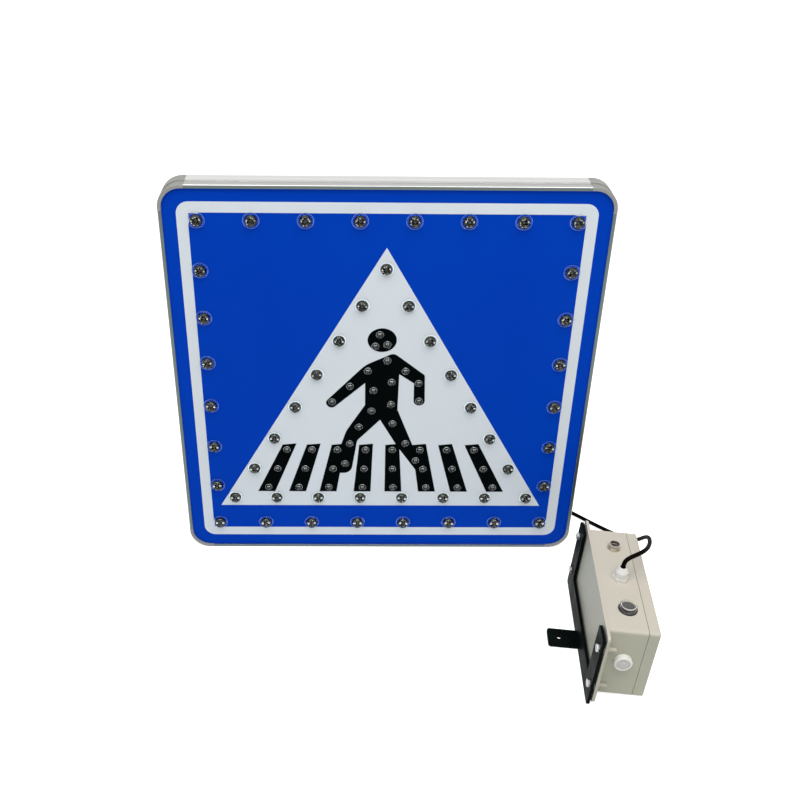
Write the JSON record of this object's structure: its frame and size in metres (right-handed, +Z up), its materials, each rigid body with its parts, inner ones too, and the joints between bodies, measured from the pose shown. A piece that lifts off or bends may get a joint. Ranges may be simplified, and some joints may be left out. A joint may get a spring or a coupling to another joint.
{
  "type": "pedestrian crossing sign",
  "caption": "Square lit crossing sign in an aluminium frame, wired to a control box with switch, sensor and bracket.",
  "frame": {"origin": "middle of the flat underside of the sign's frame", "axes": "+X to the viewer's right, +Y from the face to the back of the sign, +Z up"},
  "size_m": [0.7012, 0.4426, 0.6],
  "materials": {
    "bright_aluminium": "fine drawn profile",
    "mill_aluminium": "mill sheet",
    "zinc_steel": "zinc plated",
    "black_steel": "black powder coat",
    "grey_moulding": "moulded grey",
    "blue_film": "retroreflective film",
    "white_film": "retroreflective film",
    "black_film": "film",
    "clear_lens": "moulded clear",
    "grey_lens": "translucent grey",
    "clear_boot": "soft clear cap",
    "board": "board lacquer",
    "off_white_shell": "moulded off-white",
    "white_nylon": "moulded white",
    "black_plastic": "moulded black",
    "black_rubber": "smooth",
    "brass": "plated",
    "pack_wrap": "shrink wrap"
  },
  "bodies": {
    "sign_and_box": {"frame_bottom": "bright_aluminium", "frame_left": "bright_aluminium", "frame_top": "bright_aluminium", "frame_right": "bright_aluminium", "face_sheet": "mill_aluminium", "back_sheet": "mill_aluminium", "lower_rail": "mill_aluminium", "upper_rail": "mill_aluminium", "rail_rivets": "mill_aluminium", "corner_bottom_left": "grey_moulding", "corner_top_left": "grey_moulding", "corner_top_right": "grey_moulding", "corner_bottom_right": "grey_moulding", "blue_film": "blue_film", "border_strips": "white_film", "border_corners": "white_film", "triangle_film": "white_film", "figure_film": "black_film", "stripe_film": "black_film", "border_leds": "clear_lens", "triangle_leds": "clear_lens", "figure_leds": "clear_lens", "stripe_leds": "clear_lens", "border_boards": "board", "triangle_board": "board", "figure_board": "board", "controller_board": "board", "box_base": "off_white_shell", "box_lid": "off_white_shell", "sign_gland_body": "white_nylon", "sign_gland_cap": "white_nylon", "sign_gland_nut": "white_nylon", "box_gland_body": "white_nylon", "box_gland_cap": "white_nylon", "box_gland_nut": "white_nylon", "socket_shell": "white_nylon", "socket_nut": "white_nylon", "sensor_body": "white_nylon", "sensor_nut": "white_nylon", "terminal_block": "white_nylon", "board_posts": "white_nylon", "socket_insert": "black_plastic", "switch_body": "black_plastic", "switch_nut": "black_plastic", "switch_boot": "clear_boot", "sensor_lens": "grey_lens", "power_cable": "black_rubber", "sign_gland_seal": "black_rubber", "box_gland_seal": "black_rubber", "lid_gasket": "black_rubber", "mounting_bracket": "black_steel", "bracket_screws": "zinc_steel", "lid_screws": "zinc_steel", "battery_strap": "zinc_steel", "socket_contacts": "brass", "battery_pack": "pack_wrap"},
    "button": {"switch_button": "black_plastic"}
  },
  "joints": [
    {"name": "power_button_press", "type": "slide", "parent": "sign_and_box", "child": "button", "axis": [-0.0556, 0.0044, -0.9984], "range_m": [0, 0.0015], "stiffness_N_per_m": 400, "springref_m": -0.001}
  ]
}
